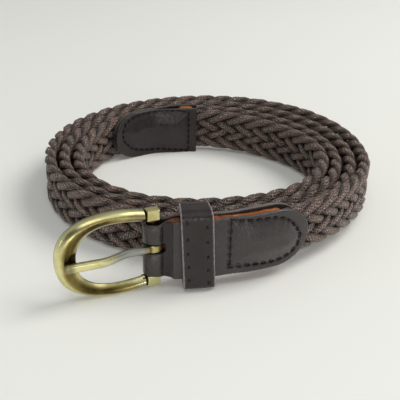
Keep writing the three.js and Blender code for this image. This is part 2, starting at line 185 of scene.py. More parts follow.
def middle(s):
    down = smooth(s, TAB_LENGTH, TAB_LENGTH + LIFT_RUN)
    coil_height = TAB_MIDDLE + (BRAID_WIDTH / 2 - TAB_MIDDLE) * down
    up = smooth(s, TIP_START - TIP_LENGTH, TIP_START)
    return coil_height + (STRAP_WIDTH / 2 - coil_height) * up


def braid_thickness(s):
    held = np.minimum(smooth(s, TAB_LENGTH, TAB_LENGTH + BRAID_TAPER),
                      1 - smooth(s, TIP_START - BRAID_TAPER, TIP_START))
    return BRAID_IN_LEATHER + (BRAID_THICK - BRAID_IN_LEATHER) * held


def waves(x, seed, count=5):
    """A gentle uneven line between about -1 and 1, the same in each run."""
    rng = np.random.default_rng(seed)
    total = np.zeros_like(x)
    for _ in range(count):
        total += np.sin(x * rng.uniform(0.04, 0.5) + rng.uniform(0, 6.3))
    return total / count


# Meshes

def mesh_object(name, verts, faces, uv=None):
    """A smooth mesh from points in millimetres; uv has one pair for each corner of each face."""
    mesh = bpy.data.meshes.new(name)
    mesh.from_pydata((np.asarray(verts) * MM).tolist(), [], faces)
    if uv is not None:
        layer = mesh.uv_layers.new(name="UVMap")
        layer.data.foreach_set("uv", np.asarray(uv, np.float32).ravel())
    mesh.polygons.foreach_set("use_smooth", [True] * len(mesh.polygons))
    mesh.update()
    piece = bpy.data.objects.new(name, mesh)
    bpy.context.scene.collection.objects.link(piece)
    return piece


def tube(rings, closed=False):
    """Points and faces of a tube through rings of the same count: capped, or closed on itself."""
    count = len(rings[0])
    verts = np.concatenate(rings)
    faces = []
    for i in range(len(rings) - (0 if closed else 1)):
        here = i * count
        there = (i + 1) % len(rings) * count
        for j in range(count):
            k = (j + 1) % count
            faces.append((here + j, here + k, there + k, there + j))
    if not closed:
        faces.append(tuple(range(count - 1, -1, -1)))
        faces.append(tuple(range(len(verts) - count, len(verts))))
    return verts, faces


def cord_path(index, s):
    """For a cord at lengths s: how far up and out of the braid's middle it is, its roll, and its face."""
    phase = s / PITCH + index / CORDS
    turn = phase % 1.0

    def lateral(p):
        p = p % 1.0
        return np.where(p < 0.5, 2 * p, 2 - 2 * p)

    blur = np.linspace(-1, 1, 9) * EDGE_ROUND / 2
    share = sum(lateral(phase + shift) for shift in blur) / len(blur)
    reach = BRAID_WIDTH / 2 - CORD_THIN * 1.1
    height = (0.5 - share) * 2 * reach / (1 - EDGE_ROUND / 2)
    face = np.ones_like(turn)
    for at, side in FACE_CHANGES:
        face += side * (1 + np.tanh((turn - at / CROSSINGS) / SWAP))
    out = face * (BRAID_THICK / 2 - CORD_THIN) * braid_thickness(s) / BRAID_THICK
    from_top = ((turn + 0.5) % 1.0) - 0.5
    from_foot = turn - 0.5
    roll = np.pi / 2 * np.where(np.abs(from_top) < 0.25,
                                1 + np.tanh(from_top / EDGE_ROLL),
                                1 - np.tanh(from_foot / EDGE_ROLL))
    return height, out, roll, face


def unit(rows):
    return rows / np.linalg.norm(rows, axis=-1, keepdims=True)


def cord_mesh(name, index):
    s = np.arange(BRAID_START + 0.5, BRAID_END - 0.5, CORD_STEP)
    height, out, roll, which = cord_path(index, s)
    height = height + 0.16 * waves(s, 40 + index) + 0.08 * waves(3 * s, 60 + index)
    out = out + 0.08 * waves(2 * s, 80 + index)
    path = place(s, out, middle(s) + height)
    tangent = unit(np.gradient(path, axis=0))
    _, _, way = station(s)
    level = np.concatenate([way, np.zeros((len(s), 1))], 1)
    face = np.cos(roll)[:, None] * level + np.sin(roll)[:, None] * np.array([0, 0, 1.0])
    face = unit(face - (face * tangent).sum(1, keepdims=True) * tangent)
    side = np.cross(tangent, face)
    angles = np.linspace(0, 2 * np.pi, CORD_SIDES, endpoint=False)
    across = np.sign(np.cos(angles)) * np.abs(np.cos(angles)) ** (2 / CORD_CORNER)
    up = np.sign(np.sin(angles)) * np.abs(np.sin(angles)) ** (2 / CORD_CORNER)
    wide = CORD_WIDE * (1 + 0.05 * waves(2 * s, 100 + index))
    thin = CORD_THIN * (1 + 0.06 * waves(2.3 * s, 120 + index)) * braid_thickness(s) / BRAID_THICK
    rings = (path[:, None] + side[:, None] * (wide[:, None] * across)[..., None]
             + face[:, None] * (thin[:, None] * up)[..., None])
    length = np.concatenate([[0], np.cumsum(np.linalg.norm(np.diff(path, axis=0), axis=1))])
    verts, faces = tube(list(rings))
    ring, spot = np.meshgrid(np.arange(len(s) - 1), np.arange(CORD_SIDES), indexing="ij")
    u = np.stack([length[ring], length[ring], length[ring + 1], length[ring + 1]], -1)
    v = np.stack([spot, spot + 1, spot + 1, spot], -1) / CORD_SIDES
    corners = np.stack([u + 1300.0 * index, v], -1).reshape(-1, 2)
    caps = np.zeros((2 * CORD_SIDES, 2))
    piece = mesh_object(name, verts, faces, np.concatenate([corners, caps]))
    # Painted shade for the material, kept as "deep": dark at the cords' sides, and where a cord passes
    # under the others from one face to the other
    phase = (s / PITCH + index / CORDS) % 0.5
    inner = smooth(np.minimum(phase, 0.5 - phase), 0.02, 0.06)
    under = (1 - np.abs(which)) * inner
    deep = np.maximum(under[:, None], 0.9 * np.abs(across[None]) ** 2.8 * (0.35 + 0.65 * inner[:, None]))
    paint(piece, "deep", deep.ravel())
    return piece


def solid_copy(node, name, voxel, rounds=3, hold=None):
    """A finer copy of a CAD node's mesh with its edges rounded, less so where hold gives points less."""
    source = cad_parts[node]
    mesh = source.data.copy()
    mesh.materials.clear()
    piece = bpy.data.objects.new(name, mesh)
    bpy.context.scene.collection.objects.link(piece)
    remesh = piece.modifiers.new("remesh", "REMESH")
    remesh.mode = "VOXEL"
    remesh.voxel_size = voxel * MM
    apply_modifiers(piece)
    points = read_points(piece)
    share = 0.5 * (np.ones(len(points)) if hold is None else hold(points))[:, None]
    ends = np.empty(len(piece.data.edges) * 2, int)
    piece.data.edges.foreach_get("vertices", ends)
    ends = ends.reshape(-1, 2)
    count = np.bincount(ends.ravel(), minlength=len(points))[:, None]
    for _ in range(rounds):
        total = np.stack([
            np.bincount(ends[:, 0], points[ends[:, 1], axis], len(points))
            + np.bincount(ends[:, 1], points[ends[:, 0], axis], len(points))
            for axis in range(3)
        ], 1)
        points += share * (total / count - points)
    write_points(piece, points)
    piece.data.polygons.foreach_set("use_smooth", [True] * len(piece.data.polygons))
    return piece


def face_outward(piece):
    shape = bmesh.new()
    shape.from_mesh(piece.data)
    bmesh.ops.recalc_face_normals(shape, faces=shape.faces)
    shape.to_mesh(piece.data)
    shape.free()


def apply_modifiers(piece):
    graph = bpy.context.evaluated_depsgraph_get()
    mesh = bpy.data.meshes.new_from_object(piece.evaluated_get(graph))
    old = piece.data
    piece.modifiers.clear()
    piece.data = mesh
    mesh.name = piece.name
    bpy.data.meshes.remove(old)


def read_points(piece):
    flat = np.empty(len(piece.data.vertices) * 3, np.float32)
    piece.data.vertices.foreach_get("co", flat)
    return flat.reshape(-1, 3).astype(float) / MM


def write_points(piece, points):
    piece.data.vertices.foreach_set("co", (points * MM).astype(np.float32).ravel())
    piece.data.update()


def paint(piece, name, values):
    """Keeps one number for each point, which the material reads by this name."""
    layer = piece.data.attributes.new(name, "FLOAT", "POINT")
    layer.data.foreach_set("value", np.asarray(values, np.float32))


# Materials

class Nodes:
    """A short way to write a material's nodes."""

    def __init__(self, name):
        self.material = bpy.data.materials.new(name)
        self.material.use_nodes = True
        self.tree = self.material.node_tree
        self.shader = self.tree.nodes["Principled BSDF"]
        self.coords = self.tree.nodes.new("ShaderNodeTexCoord")

    def add(self, kind, **values):
        node = self.tree.nodes.new("ShaderNode" + kind)
        for key, value in values.items():
            if hasattr(node, key):
                setattr(node, key, value)
            else:
                self.feed(value, node.inputs[key.replace("_", " ")])
        return node

    def feed(self, value, socket):
        if isinstance(value, bpy.types.NodeSocket):
            self.tree.links.new(value, socket)
        else:
            socket.default_value = value

    def set(self, **values):
        for key, value in values.items():
            self.feed(value, self.shader.inputs[key.replace("_", " ")])

    def scaled(self, source, scale):
        return self.add("Mapping", Vector=source, Scale=scale).outputs["Vector"]

    def noise(self, vector, scale, detail=3.0, roughness=0.55):
        node = self.add("TexNoise", Vector=vector, Scale=scale, Detail=detail, Roughness=roughness)
        return node.outputs["Fac"]

    def ramp(self, value, stops):
        node = self.tree.nodes.new("ShaderNodeValToRGB")
        self.feed(value, node.inputs["Fac"])
        marks = node.color_ramp.elements
        while len(marks) < len(stops):
            marks.new(0.5)
        for mark, (at, color) in zip(marks, stops):
            mark.position = at
            mark.color = (*color, 1) if len(color) == 3 else color
        return node.outputs["Color"]

    def span(self, value, low, high, first=0.0, last=1.0):
        node = self.add("MapRange", Value=value)
        node.inputs["From Min"].default_value = low
        node.inputs["From Max"].default_value = high
        node.inputs["To Min"].default_value = first
        node.inputs["To Max"].default_value = last
        return node.outputs["Result"]

    def mix(self, share, first, last):
        node = self.tree.nodes.new("ShaderNodeMix")
        node.data_type = "RGBA"
        self.feed(share, node.inputs["Factor"])
        self.feed(first, node.inputs["A"])
        self.feed(last, node.inputs["B"])
        return node.outputs[2]

    def math(self, operation, first, last):
        node = self.tree.nodes.new("ShaderNodeMath")
        node.operation = operation
        self.feed(first, node.inputs[0])
        self.feed(last, node.inputs[1])
        return node.outputs[0]

    def painted(self, name):
        return self.add("Attribute", attribute_name=name).outputs["Fac"]

    def bump(self, height, distance, strength=1.0, after=None):
        node = self.add("Bump", Height=height, Distance=distance, Strength=strength)
        if after is not None:
            self.feed(after, node.inputs["Normal"])
        return node.outputs["Normal"]


def shade(r, g, b):
    """A colour as it is seen on a screen, from 0 to 255, in the renderer's own scale."""
    return tuple((v / 255 / 12.92) if v < 10.3 else ((v / 255 + 0.055) / 1.055) ** 2.4 for v in (r, g, b))


def rgba(color):
    return (*color, 1)


def cord_material():
    """A braided sleeve of waxed yarn: fine crossing threads over brown patches, with painted shade in the
    crevices and between the cords, and painted highlights and glints on the threads.
    """
    n = Nodes("waxed cord")
    uv = n.coords.outputs["UV"]
    where = n.coords.outputs["Object"]
    parts = n.add("SeparateXYZ", Vector=uv)
    along = n.math("MULTIPLY", parts.outputs["X"], 2 * math.pi / 1.15)
    around = n.math("MULTIPLY", parts.outputs["Y"], 2 * math.pi * 8)
    one_way = n.math("SINE", n.math("ADD", along, around), 0.0)
    other_way = n.math("SINE", n.math("SUBTRACT", along, around), 0.0)
    weave = n.math("MAXIMUM", one_way, other_way)
    fuzz = n.noise(n.scaled(uv, (2.6, 22, 1)), 1.0, 4.0, 0.65)
    streaks = n.noise(n.scaled(uv, (0.25, 9, 1)), 1.0, 3.0, 0.6)
    patches = n.noise(n.scaled(uv, (0.09, 0.7, 1)), 1.0, 2.0)
    tint = n.ramp(n.noise(where, 60.0, 2.0), [(0.35, shade(90, 73, 67)), (0.65, shade(120, 99, 90))])
    base = n.mix(n.span(patches, 0.42, 0.62), tint, rgba(shade(130, 98, 87)))
    base = n.mix(n.span(streaks, 0.4, 0.7, 0.0, 0.5), base, rgba(shade(44, 35, 31)))
    relief = n.math("ADD", n.math("MULTIPLY", weave, 0.5), fuzz)
    # Painted shade in the weave's crevices, and painted highlights on the threads' tops
    base = n.mix(n.span(relief, 0.1, 0.6, 0.6, 0.0), base, rgba(shade(26, 20, 18)))
    base = n.mix(n.span(relief, 0.85, 1.1, 0.0, 0.6), base, rgba(shade(196, 174, 160)))
    # Painted glints: pale specks in the colour where light would catch the fibres; the same noise also
    # raises the bump
    glints = n.noise(n.scaled(uv, (1.9, 15, 1)), 1.0, 2.0, 0.8)
    base = n.mix(n.span(glints, 0.58, 0.64, 0.0, 0.85), base, rgba(shade(236, 226, 216)))
    # Painted shade where the points say deep: between the cords and where a cord passes under others
    base = n.mix(n.math("MULTIPLY", n.painted("deep"), 0.9), base, rgba(shade(13, 10, 9)))
    n.set(Base_Color=base, Roughness=n.span(fuzz, 0.35, 0.65, 0.36, 0.56))
    n.set(Specular_IOR_Level=0.45)
    coarse = n.bump(streaks, 0.0006, 0.6)
    n.set(Normal=n.bump(n.math("ADD", relief, glints), 0.00045, 1.0, coarse))
    return n.material


def leather_material(name, dark, light, edge, gloss):
    """Fine-grained leather; its points say where it is raw and pale, and where it is sunk and takes painted
    shade.
    """
    n = Nodes(name)
    where = n.coords.outputs["Object"]
    cells = n.add("TexVoronoi", Vector=where, Scale=1500.0, feature="DISTANCE_TO_EDGE")
    grain = n.span(cells.outputs["Distance"], 0.0, 0.25)
    creases = n.noise(where, 420.0, 4.0, 0.6)
    clouds = n.noise(where, 70.0, 3.0)
    base = n.ramp(clouds, [(0.3, dark), (0.7, light)])
    base = n.mix(n.span(grain, 0.0, 0.6, 0.35, 0.0), base, rgba(tuple(v * 0.45 for v in dark)))
    # Painted shade where the points say sunk
    sunk = n.painted("sunk")
    base = n.mix(n.math("MULTIPLY", sunk, 0.85), base, rgba(shade(14, 12, 12)))
    raw = n.painted("raw")
    raw = n.math("MULTIPLY", raw, n.span(creases, 0.3, 0.6, 0.55, 1.0))
    base = n.mix(raw, base, rgba(edge))
    rough = n.span(creases, 0.3, 0.7, gloss, gloss + 0.12)
    n.set(Base_Color=base, Roughness=n.math("MAXIMUM", rough, n.math("MULTIPLY", raw, 0.8)))
    n.set(Specular_IOR_Level=0.4)
    fine = n.bump(grain, 0.00003, 0.7)
    n.set(Normal=n.bump(creases, 0.0003, 0.5, fine))
    return n.material


def core_material():
    n = Nodes("tan core")
    where = n.coords.outputs["Object"]
    fibres = n.noise(where, 900.0, 4.0, 0.7)
    patches = n.noise(where, 240.0, 3.0, 0.6)
    tans = [(0.3, shade(122, 66, 34)), (0.52, shade(168, 96, 50)), (0.75, shade(196, 128, 78))]
    base = n.ramp(patches, tans)
    base = n.mix(n.span(fibres, 0.4, 0.7, 0.0, 0.6), base, rgba(shade(96, 52, 30)))
    n.set(Base_Color=base, Roughness=0.85, Specular_IOR_Level=0.25, Normal=n.bump(fibres, 0.0004, 0.8))
    return n.material


def thread_material(name, color):
    n = Nodes(name)
    where = n.coords.outputs["Object"]
    twist = n.noise(where, 2600.0, 2.0)
    base = n.mix(n.span(twist, 0.35, 0.65), rgba(color), rgba(tuple(min(1, v * 2.2) for v in color)))
    n.set(Base_Color=base, Roughness=0.7, Specular_IOR_Level=0.3, Normal=n.bump(twist, 0.0002, 0.7))
    return n.material


def brass_material():
    """Antique brass: bright where it is worn, brown in its hollows with patina and painted shade, silvery
    where its plating is left.
    """
    n = Nodes("antique brass")
    where = n.coords.outputs["Object"]
    clouds = n.noise(where, 130.0, 4.0, 0.6)
    scratches = n.noise(n.scaled(where, (300, 300, 2400)), 1.0, 3.0)
    worn = n.painted("worn")
    age = n.math("SUBTRACT", n.span(clouds, 0.3, 0.7, 0.55, 0.95), n.math("MULTIPLY", worn, 0.75))
    base = n.ramp(age, [(0.0, shade(232, 225, 168)), (0.4, shade(166, 150, 90)), (0.85, shade(76, 64, 36))])
    base = n.mix(n.painted("silver"), base, rgba(shade(158, 158, 152)))
    # Dark brown where the points say: patina in the groove, painted shade in the notch
    grime_and_shade = n.math("MULTIPLY", n.painted("grime_and_shade"), 0.92)
    base = n.mix(grime_and_shade, base, rgba(shade(34, 28, 18)))
    rough = n.math("MAXIMUM", n.span(clouds, 0.3, 0.7, 0.26, 0.36), n.math("MULTIPLY", grime_and_shade, 0.6))
    n.set(Base_Color=base, Metallic=1.0, Roughness=rough)
    n.set(Normal=n.bump(scratches, 0.00003, 0.06))
    return n.material


# The camera and the room

CAMERA_PLACE = (-2.158, -245.130, 125.236)
CAMERA_TILT = 27.0
CAMERA_ROLL = 1.253
CAMERA_FOCUS = 755.1  # the focal length in pixels of the photograph
PHOTO_WIDTH = 400
DARK_SIDE = (-0.35, -0.7, 0.62)


def make_camera():
    tilt = math.radians(CAMERA_TILT)
    roll = math.radians(CAMERA_ROLL)
    ahead = Vector((0, math.cos(tilt), -math.sin(tilt)))
    upright = Vector((0, math.sin(tilt), math.cos(tilt)))
    level = Vector((1, 0, 0))
    right = level * math.cos(roll) + upright * math.sin(roll)
    up = upright * math.cos(roll) - level * math.sin(roll)
    data = bpy.data.cameras.new("camera")
    data.sensor_width = 36.0
    data.lens = CAMERA_FOCUS / PHOTO_WIDTH * data.sensor_width
    data.clip_start = 0.01
    camera = bpy.data.objects.new("camera", data)
    turn = Matrix((right, up, -ahead)).transposed().to_4x4()
    camera.matrix_world = Matrix.Translation(Vector(CAMERA_PLACE) * MM) @ turn
    bpy.context.scene.collection.objects.link(camera)
    bpy.context.scene.camera = camera
    bpy.context.scene.view_settings.view_transform = "Standard"


def make_floor():
    size = 3000.0
    corners = [(-size, -size, 0), (size, -size, 0), (size, size, 0), (-size, size, 0)]
    floor = mesh_object("floor", corners, [(0, 1, 2, 3)])
    n = Nodes("pale floor")
    clouds = n.noise(n.coords.outputs["Object"], 3.0, 2.0)
    n.set(Base_Color=n.ramp(clouds, [(0.3, shade(232, 233, 230)), (0.7, shade(236, 237, 234))]))
    n.set(Roughness=0.9, Specular_IOR_Level=0.1)
    # The floor glows faintly: painted light that lifts the shadows on it and lights the belt a little from
    # below
    n.set(Emission_Color=rgba(shade(255, 252, 246)), Emission_Strength=0.1)
    floor.data.materials.append(n.material)


def area_light(name, place_mm, aim_mm, size, power, color):
    data = bpy.data.lights.new(name, "AREA")
    data.shape = "DISK"
    data.size = size
    data.energy = power
    data.color = color
    light = bpy.data.objects.new(name, data)
    at = Vector(place_mm) * MM
    turn = (Vector(aim_mm) * MM - at).to_track_quat("-Z", "Y").to_matrix().to_4x4()
    light.matrix_world = Matrix.Translation(at) @ turn
    bpy.context.scene.collection.objects.link(light)


def make_lights():
    """A pale room with a dark place where the camera stands, and a window to the right."""
    world = bpy.data.worlds.new("room")
    bpy.context.scene.world = world
    world.use_nodes = True
    tree = world.node_tree
    back = tree.nodes["Background"]
    coords = tree.nodes.new("ShaderNodeTexCoord")
    facing = tree.nodes.new("ShaderNodeVectorMath")
    facing.operation = "DOT_PRODUCT"
    tree.links.new(coords.outputs["Generated"], facing.inputs[0])
    facing.inputs[1].default_value = DARK_SIDE
    room = tree.nodes.new("ShaderNodeValToRGB")
    tree.links.new(facing.outputs["Value"], room.inputs["Fac"])
    marks = room.color_ramp.elements
    marks[0].position, marks[0].color = 0.8, (0.955, 1.0, 0.975, 1)
    marks[1].position, marks[1].color = 0.95, (0.07, 0.07, 0.07, 1)
    tree.links.new(room.outputs["Color"], back.inputs["Color"])
    back.inputs["Strength"].default_value = 0.38
    area_light("window", (600, 130, 770), (0, 0, 0), 0.6, 5.4, (1.0, 0.965, 0.92))
    area_light("ceiling", (-80, -400, 850), (0, 0, 0), 0.45, 1.1, (1.0, 0.985, 0.96))
    area_light("left_lamp", (-560, -330, 160), (0, 0, 10), 0.14, 0.13, (1.0, 1.0, 1.0))
    area_light("right_lamp", (220, -640, 200), (0, 0, 10), 0.12, 0.5, (1.0, 1.0, 1.0))
    area_light("front_lamp", (-60, -640, 50), (0, 0, 10), 0.14, 0.34, (1.0, 1.0, 1.0))


# The pieces

def fit(piece, body, slot, material, *nodes):
    piece.data.materials.clear()
    piece.data.materials.append(material)
    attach(piece, body)
    if nodes:
        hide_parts(*nodes)


def make_braid():
    material = cord_material()
    for index in range(CORDS):
        fit(cord_mesh(f"cord_{index + 1}", index), "strap", "cord", material, "braid_band")


# The line of the stitches on the tab, along the belt and up from its middle, in millimetres
TAB_STITCH = [
    (22.0, -6.8), (22.0, 9.4), (24.0, 8.7), (26.3, 8.2), (29.3, 8.0), (32.5, 7.8), (35.8, 7.5), (39.0, 6.5),
    (41.3, 4.9), (43.3, 2.7), (44.9, -0.4), (44.2, -3.8), (41.8, -6.2), (38.5, -7.2), (35.5, -7.5),
    (32.5, -7.4), (29.3, -7.2), (25.8, -7.0), (22.0, -6.8),
]
TIP_STITCH = [
    (3.4, -9.0), (3.4, 7.7), (8.0, 8.6), (14.0, 8.9), (21.0, 8.8), (25.6, 8.4), (28.8, 7.6), (31.6, 6.0),
    (33.2, 2.6), (33.0, -0.6), (31.8, -2.2), (29.2, -5.0), (25.8, -6.6), (21.0, -7.4), (16.3, -7.8),
    (10.0, -8.4), (4.1, -8.8),
]


def along_path(knots, step):
    """Points at even steps along a path, and the way it goes there."""
    knots = np.asarray(knots, float)
    lengths = np.concatenate([[0], np.cumsum(np.linalg.norm(np.diff(knots, axis=0), axis=1))])
    at = np.arange(step / 2, lengths[-1], step)

    def point(t):
        return np.stack([np.interp(t, lengths, knots[:, 0]), np.interp(t, lengths, knots[:, 1])], 1)

    way = point(np.minimum(at + 0.3, lengths[-1])) - point(np.maximum(at - 0.3, 0))
    return point(at), way / np.linalg.norm(way, axis=1, keepdims=True)


def path_distance(s, z, knots):
    """How far each place (s, z) is from a path, and whether it lies inside of it."""
    knots = np.asarray(knots, float)
    least = np.full(len(s), 1e9)
    inside = np.zeros(len(s), bool)
    ends = np.roll(knots, -1, axis=0)
    for (s0, z0), (s1, z1) in zip(knots, ends):
        run = np.array([s1 - s0, z1 - z0])
        size = max(run @ run, 1e-9)
        t = np.clip(((s - s0) * run[0] + (z - z0) * run[1]) / size, 0, 1)
        least = np.minimum(least, np.hypot(s - s0 - t * run[0], z - z0 - t * run[1]))
        crosses = (z0 > z) != (z1 > z)
        reach = s0 + (z - z0) / (z1 - z0 if z1 != z0 else 1) * (s1 - s0)
        inside ^= crosses & (s < reach)
    return least, inside


def half_height(along, length, round_length=11.0):
    past = np.maximum(0, along - (length - round_length)) / round_length
    return STRAP_WIDTH / 2 * np.sqrt(np.maximum(0, 1 - past * past))


def make_tab(leather):
    def hold(points):
        s, _, z = belt_places(points, -5, 52)
        beside_slot = smooth(np.abs(z - TAB_MIDDLE - PRONG_RISE), 2.2, 3.2)
        return np.maximum(beside_slot, smooth(s, 5, 7)) * 0.85 + 0.15

    piece = solid_copy("tab_leather", "tab", 0.3, 4, hold)
    points = read_points(piece)
    s, n, z = belt_places(points, -5, 52)
    up = z - TAB_MIDDLE
    outside = smooth(n, 0.3, 1.2)
    gap, inside = path_distance(s, up, TAB_STITCH)
    puff = np.where(inside, smooth(gap, 0.05, 2.2) * 0.5 + smooth(gap, 0.3, 6.5) * 1.5, 0)
    groove = -0.2 * np.exp(-(gap / 0.45) ** 2)
    wrinkle = 0.16 * waves(s * 7 + up * 4, 3) * np.exp(-(gap / 2.2) ** 2) * inside * smooth(up, -2, 6)
    recess = -0.5 * smooth(s, 2.0, 3.2) * (1 - smooth(s, 5.4, 5.9))
    seam = -0.12 * np.exp(-((s - 5.7) / 0.3) ** 2)
    lobe = np.sin(np.pi * np.clip((np.abs(up - PRONG_RISE) - 1.8) / 7.0, 0, 1))
    lobe *= 0.7 * (1 - smooth(s, 1.2, 3.0))
    shift = outside * (puff + groove + wrinkle + recess + seam + lobe + 0.05 * waves(s * 1.3 + up, 5))
    _, _, way = station(s)
    points[:, :2] += way * shift[:, None]
    write_points(piece, points)
    half = half_height(s, TAB_LENGTH)
    rim = smooth(np.abs(up), half - 0.45, half - 0.1)
    paint(piece, "raw", rim * np.where(n < 0, 0.75, 0.2))
    # Painted shade in the recess between the fold and the keeper, and along the stitch groove
    shaded = smooth(s, 2.3, 3.0) * (1 - smooth(s, 5.2, 5.9)) * (0.9 + 0.15 * waves(s * 5 + up * 2, 9))
    paint(piece, "sunk", outside * np.maximum(0.7 * np.exp(-(gap / 0.35) ** 2), shaded))
    fit(piece, "strap", "leather", leather, "tab_leather")


def stitches(name, knots, start, height, out, step, length, radius, material, side=1):
    """Short threads along a path on the belt, each sunk at both its ends and a little uneven."""
    places, ways = along_path(knots, step)
    rng = np.random.default_rng(len(places))
    verts, faces = [], []
    spans = np.linspace(-1, 1, 7)
    angle = np.linspace(0, 2 * np.pi, 8, endpoint=False)
    for (s, z), (ws, wz) in zip(places, ways):
        t = spans * length / 2 * rng.uniform(0.85, 1.1)
        skew = rng.uniform(-0.12, 0.12)
        ws, wz = ws - wz * skew, wz + ws * skew
        base = out(s) if callable(out) else out
        stand = side * (base + radius * (0.35 - 1.3 * spans ** 4))
        path = place(start + s + ws * t, stand, height + z + wz * t)
        tangent = unit(np.gradient(path, axis=0))
        _, _, way = station(np.array([start + s]))
        across = unit(np.cross(tangent, np.array([way[0, 0], way[0, 1], 0]) * side))
        normal = np.cross(across, tangent)
        thick = radius * np.sqrt(np.maximum(0.12, 1 - spans ** 6))
        rings = (path[:, None] + across[:, None] * (thick[:, None] * np.cos(angle))[..., None]
                 + normal[:, None] * (thick[:, None] * np.sin(angle))[..., None])
        more, sheets = tube(list(rings))
        first = sum(len(v) for v in verts)
        verts.append(more)
        faces += [tuple(i + first for i in face) for face in sheets]
    piece = mesh_object(name, np.concatenate(verts), faces)
    fit(piece, "strap", "leather", material)
    return piece


# The stitches of the keeper: how far each row is from its near edge, and the heights of its stitches
KEEPER_ROWS = (
    (1.65, (9.95, 4.7, -0.05, -4.55, -9.05)),
    (7.05, (8.45, 3.4, -1.45, -5.9, -10.2)),
)


def keeper_lean(up):
    return KEEPER_LEAN * (KEEPER_TALL - up) / (2 * KEEPER_TALL)


def make_keeper():
    piece = solid_copy("keeper", "keeper_loop", 0.25, 3)
    points = read_points(piece)
    s, n, z = belt_places(points, 2, 24)
    up = z - TAB_MIDDLE
    near = s - KEEPER_PLACE - keeper_lean(up)
    across = np.minimum(near, KEEPER_WIDTH - near)
    outside = smooth(n, 3.6, 4.2)
    rows = np.min([np.abs(near - row) for row, _ in KEEPER_ROWS], axis=0)
    holes = np.min([np.hypot((near - row) * 1.5, (up - h) * 0.75)
                    for row, heights in KEEPER_ROWS for h in heights], axis=0)
    shift = outside * (0.22 * smooth(across, 0.2, 1.4) - 0.14 * np.exp(-(rows / 0.5) ** 2)
                       - 0.4 * np.exp(-(holes / 0.6) ** 2) + 0.06 * waves(s * 2 + up, 8))
    _, _, way = station(s)
    points[:, :2] += way * shift[:, None]
    write_points(piece, points)
    ragged = 0.07 * waves(up * 6, 31) + 0.05 * waves(up * 14, 32)
    paint(piece, "raw", 1 - smooth(across + ragged, 0.2, 0.5))
    # Painted shade in the stitch holes
    paint(piece, "sunk", outside * np.exp(-(holes / 0.65) ** 4))
    pale_edge = shade(156, 144, 148)
    leather = leather_material("keeper leather", shade(36, 27, 26), shade(50, 40, 39), pale_edge, 0.22)
    fit(piece, "strap", "keeper_leather", leather, "keeper")
    thread = thread_material("keeper thread", shade(34, 30, 30))
    for number, (row, heights) in enumerate(KEEPER_ROWS):
        for count, h in enumerate(heights):
            along = row + keeper_lean(h)
            knots = [(along, h - 0.5), (along, h + 0.5)]
            stitches(f"keeper_stitch_{number + 1}_{count + 1}", knots, KEEPER_PLACE, TAB_MIDDLE,
                     out=4.45, step=1.0, length=1.2, radius=0.2, material=thread)


def tip_spread(along):
    """From the tip's middle to the inner face of each of its leathers."""
    closing = smooth(along, BRAID_IN_TIP, BRAID_IN_TIP + TIP_CLOSING)
    return BAR_RADIUS + CLEAR + (CLEAR / 2 - BAR_RADIUS - CLEAR) * closing


def make_tip():
    leather = leather_material("tip leather", shade(38, 31, 31), shade(50, 43, 43), shade(92, 86, 86), 0.21)
    for node, name, side in (("tip_inner_leather", "tip_inner", -1), ("tip_outer_leather", "tip_outer", 1)):
        piece = solid_copy(node, name, 0.3, 3)
        points = read_points(piece)
        s, n, z = belt_places(points, TIP_START - 4, BELT_LENGTH + 4)
        along = s - TIP_START
        up = z - middle(s)
        outside = smooth(side * n - tip_spread(along), 0.5, 1.0)
        gap, inside = path_distance(along, up, TIP_STITCH)
        puff = np.where(inside, smooth(gap, 0.1, 2.2) * 0.4 + smooth(gap, 0.3, 6.5) * 1.1, 0)
        groove = -0.18 * np.exp(-(gap / 0.45) ** 2)
        shift = side * outside * (puff + groove + 0.05 * waves(s * 1.3 + up, 15))
        _, _, way = station(s)
        points[:, :2] += way * shift[:, None]
        write_points(piece, points)
        half = half_height(along, TIP_LENGTH)
        paint(piece, "raw", 0.5 * smooth(np.abs(up), half - 0.4, half - 0.1))
        # Painted shade along the stitch groove
        paint(piece, "sunk", outside * 0.7 * np.exp(-(gap / 0.35) ** 2))
        fit(piece, "strap", "leather", leather, node)
    thread = thread_material("tip thread", shade(20, 18, 18))
    stitches("tip_stitches", TIP_STITCH, TIP_START, STRAP_WIDTH / 2,
             out=lambda along: float(tip_spread(along)) + LEATHER + 0.03,
             step=2.5, length=1.7, radius=0.22, material=thread, side=-1)


def make_cores():
    material = core_material()
    for node, start, length in (("tab_core", 0.0, TAB_LENGTH), ("tip_core", TIP_START, TIP_LENGTH)):
        piece = solid_copy(node, node + "_edge", 0.25, 2)
        points = read_points(piece)
        s, _, z = belt_places(points, start - 4, start + length + 4)
        along = s - start
        points[:, 2] += 0.12 * waves(s * 4, 21)
        if node == "tab_core":
            sunk = 0.2 + 0.45 * smooth(along, 22, 29) + 1.2 * smooth(along, 37, 43)
            upper = smooth(z, TAB_MIDDLE, TAB_MIDDLE + 4)
        else:
            sunk = 1.6 * (1 - smooth(along, 0.6, 2.4)) + 1.6 * smooth(along, 6.4, 8.4)
            upper = smooth(z, 9, 13)
        points[:, 2] -= sunk * upper
        write_points(piece, points)
        fit(piece, "strap", "core", material, node)


def buckle_turn():
    """The bar's place, and the ways away from the strap and out of the coil, both level."""
    bar, along, _ = station(np.array([0.0]))
    turn = math.atan2(-along[0, 1], -along[0, 0]) + math.radians(BUCKLE_SWING)
    return bar[0], np.array([math.cos(turn), math.sin(turn)]), np.array([-math.sin(turn), math.cos(turn)])


def from_buckle(points):
    """Points in space, from places in the buckle's own frame: from the bar, out of the coil, up."""
    points = np.asarray(points, float)
    bar, ahead, facing = buckle_turn()
    flat = bar + points[..., :1] * ahead + points[..., 1:2] * facing
    return np.concatenate([flat, points[..., 2:] + TAB_MIDDLE], -1)


